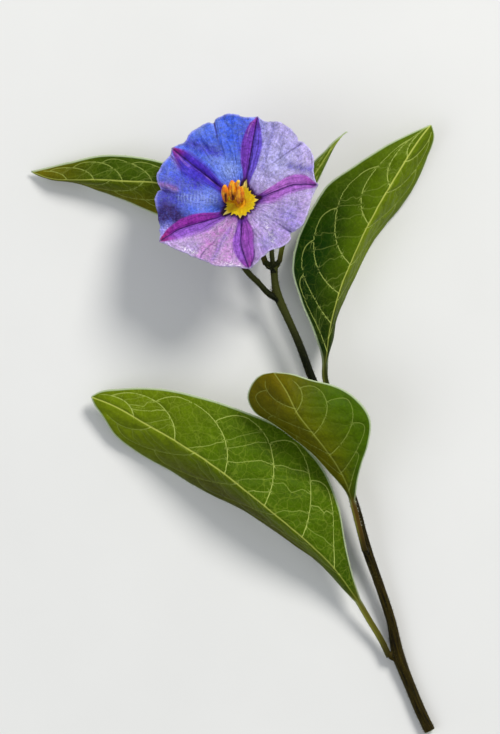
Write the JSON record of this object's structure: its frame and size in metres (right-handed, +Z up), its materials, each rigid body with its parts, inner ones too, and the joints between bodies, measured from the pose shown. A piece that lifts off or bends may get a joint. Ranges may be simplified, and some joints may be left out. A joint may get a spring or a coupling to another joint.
{
  "type": "lycianthes flower",
  "caption": "Cut sprig of blue potato bush lying on its back, with an open violet flower facing up, arched leaves on a thin stem and a closed bud.",
  "frame": {"origin": "on the surface the sprig lies on, under the middle of its outline", "axes": "+X to the sprig's right as seen from above, +Y along the stem towards its growing tip, +Z up, the way the open flower faces"},
  "size_m": [0.0695, 0.1056, 0.0211],
  "materials": {
    "stem": "dull green with fine pale hairs",
    "leaf": "soft leaf green, slightly glossy, with pale veins",
    "petal": "matt blue violet with magenta stripes and a yellow eye",
    "calyx": "dull green with fine pale hairs",
    "anther": "matt orange",
    "pistil": "pale yellow green"
  },
  "bodies": {
    "root": {"stem": "stem", "leaf_low": "leaf", "leaf_front": "leaf", "leaf_upper_right": "leaf", "leaf_upper_left": "leaf", "leaf_small": "leaf", "corolla": "petal", "calyx": "calyx", "stamens": "anther", "pistil": "pistil", "bud": "calyx"}
  },
  "joints": []
}
